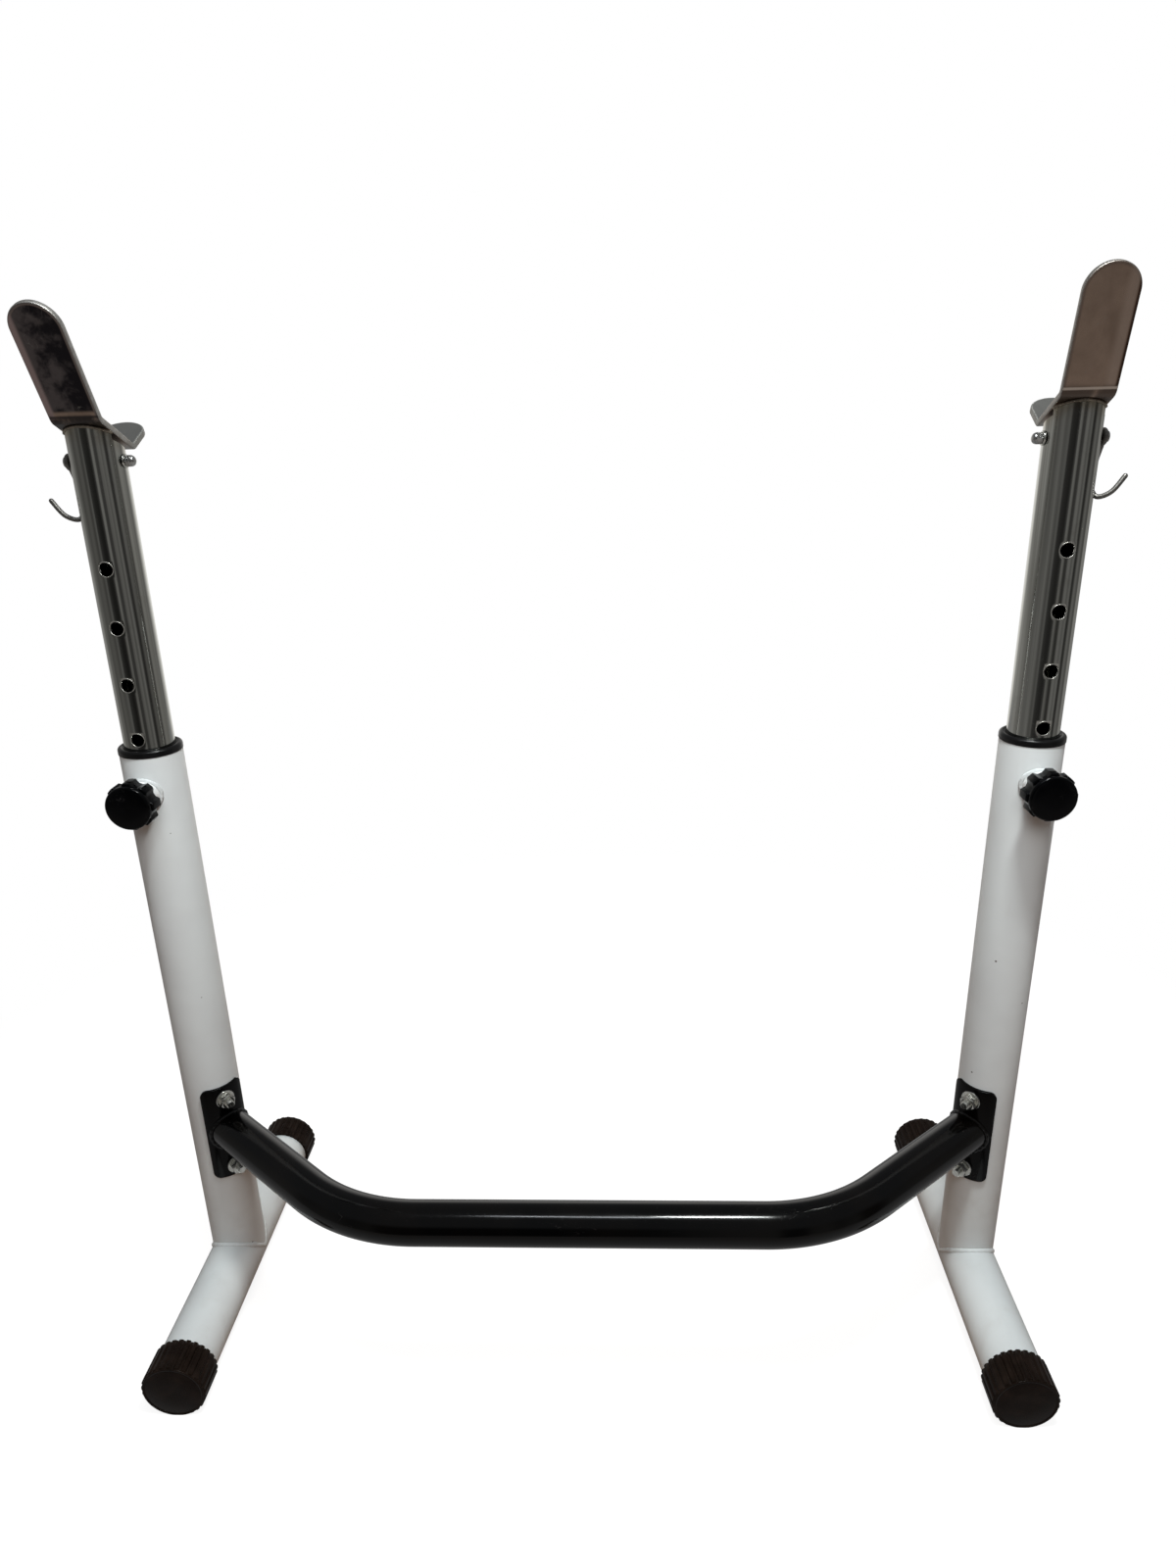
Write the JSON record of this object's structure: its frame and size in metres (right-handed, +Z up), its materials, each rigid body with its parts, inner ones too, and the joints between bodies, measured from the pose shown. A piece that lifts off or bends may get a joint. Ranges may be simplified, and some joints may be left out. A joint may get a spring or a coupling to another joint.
{
  "type": "squat stand",
  "caption": "Squat stand: two round side frames joined by a bowed crossbar, with telescoping posts that end in bent bar cups and wire hooks.",
  "frame": {"origin": "on the floor, midway between the two uprights and between the front and rear ends of the base tubes", "axes": "+Z up, -Y to the front where the crossbar bows out and the knobs face, +X to the right seen from the front"},
  "size_m": [0.9794, 0.398, 1.0774],
  "materials": {
    "white_tube": "cool white powder coat, satin",
    "black_bar": "black paint, satin with soft highlights",
    "chromed_post": "bright chrome plating with fine streaks along the tube",
    "plated_steel": "dull nickel plating, clouded with tarnish",
    "zinc_fastener": "bright zinc plating",
    "black_plastic": "moulded black plastic, matt",
    "knob_plastic": "moulded black plastic, satin gloss"
  },
  "bodies": {
    "stand": {"crossbar": "black_bar", "left_base_tube": "white_tube", "left_upright": "white_tube", "left_knob_boss": "white_tube", "left_front_cap": "black_plastic", "left_rear_cap": "black_plastic", "left_collar": "black_plastic", "left_saddle_plate": "black_bar", "left_upper_bracket_bolt": "zinc_fastener", "left_upper_bracket_washer": "zinc_fastener", "left_upper_bracket_nut": "zinc_fastener", "left_lower_bracket_bolt": "zinc_fastener", "left_lower_bracket_washer": "zinc_fastener", "left_lower_bracket_nut": "zinc_fastener", "right_base_tube": "white_tube", "right_upright": "white_tube", "right_knob_boss": "white_tube", "right_front_cap": "black_plastic", "right_rear_cap": "black_plastic", "right_collar": "black_plastic", "right_saddle_plate": "black_bar", "right_upper_bracket_bolt": "zinc_fastener", "right_upper_bracket_washer": "zinc_fastener", "right_upper_bracket_nut": "zinc_fastener", "right_lower_bracket_bolt": "zinc_fastener", "right_lower_bracket_washer": "zinc_fastener", "right_lower_bracket_nut": "zinc_fastener"},
    "left_lift": {"left_post_guide": "black_plastic"},
    "left_swivel": {"left_post": "chromed_post", "left_bar_cup": "plated_steel", "left_hook_bolt": "zinc_fastener", "left_hook_washer": "zinc_fastener", "left_hook_cap_nut": "zinc_fastener"},
    "left_hook": {"left_wire_hook": "plated_steel"},
    "left_pin": {"left_knob_pin": "zinc_fastener"},
    "left_knob_turn": {"left_knob": "knob_plastic"},
    "right_lift": {"right_post_guide": "black_plastic"},
    "right_swivel": {"right_post": "chromed_post", "right_bar_cup": "plated_steel", "right_hook_bolt": "zinc_fastener", "right_hook_washer": "zinc_fastener", "right_hook_cap_nut": "zinc_fastener"},
    "right_hook": {"right_wire_hook": "plated_steel"},
    "right_pin": {"right_knob_pin": "zinc_fastener"},
    "right_knob_turn": {"right_knob": "knob_plastic"}
  },
  "joints": [
    {"name": "left_post_slide", "type": "slide", "parent": "stand", "child": "left_lift", "axis": [0, 0, 1], "range_m": [-0.165, 0.165]},
    {"name": "left_post_turn", "type": "hinge", "parent": "left_lift", "child": "left_swivel", "pos_m": [-0.435, 0, 0.6295], "axis": [0, 0, 1], "range_deg": [-180, 180]},
    {"name": "left_hook_swing", "type": "hinge", "parent": "left_swivel", "child": "left_hook", "pos_m": [-0.435, 0, 0.9435], "axis": [1, 0, 0], "range_deg": [-90, 90]},
    {"name": "left_pin_feed", "type": "slide", "parent": "stand", "child": "left_pin", "axis": [0, 1, 0], "range_m": [0, 0.006]},
    {"name": "left_knob_screw", "type": "hinge", "parent": "left_pin", "child": "left_knob_turn", "pos_m": [-0.435, -0.046, 0.6295], "axis": [0, 1, 0], "range_deg": [0, 1080]},
    {"name": "right_post_slide", "type": "slide", "parent": "stand", "child": "right_lift", "axis": [0, 0, 1], "range_m": [-0.165, 0.165]},
    {"name": "right_post_turn", "type": "hinge", "parent": "right_lift", "child": "right_swivel", "pos_m": [0.435, 0, 0.6295], "axis": [0, 0, 1], "range_deg": [-180, 180]},
    {"name": "right_hook_swing", "type": "hinge", "parent": "right_swivel", "child": "right_hook", "pos_m": [0.435, 0, 0.9435], "axis": [1, 0, 0], "range_deg": [-90, 90]},
    {"name": "right_pin_feed", "type": "slide", "parent": "stand", "child": "right_pin", "axis": [0, 1, 0], "range_m": [0, 0.006]},
    {"name": "right_knob_screw", "type": "hinge", "parent": "right_pin", "child": "right_knob_turn", "pos_m": [0.435, -0.046, 0.6295], "axis": [0, 1, 0], "range_deg": [0, 1080]}
  ],
  "couplings": [
    {"joint": "left_pin_feed", "follows": "left_knob_screw", "m_per_rad": 0.00031831},
    {"joint": "right_pin_feed", "follows": "right_knob_screw", "m_per_rad": 0.00031831}
  ]
}
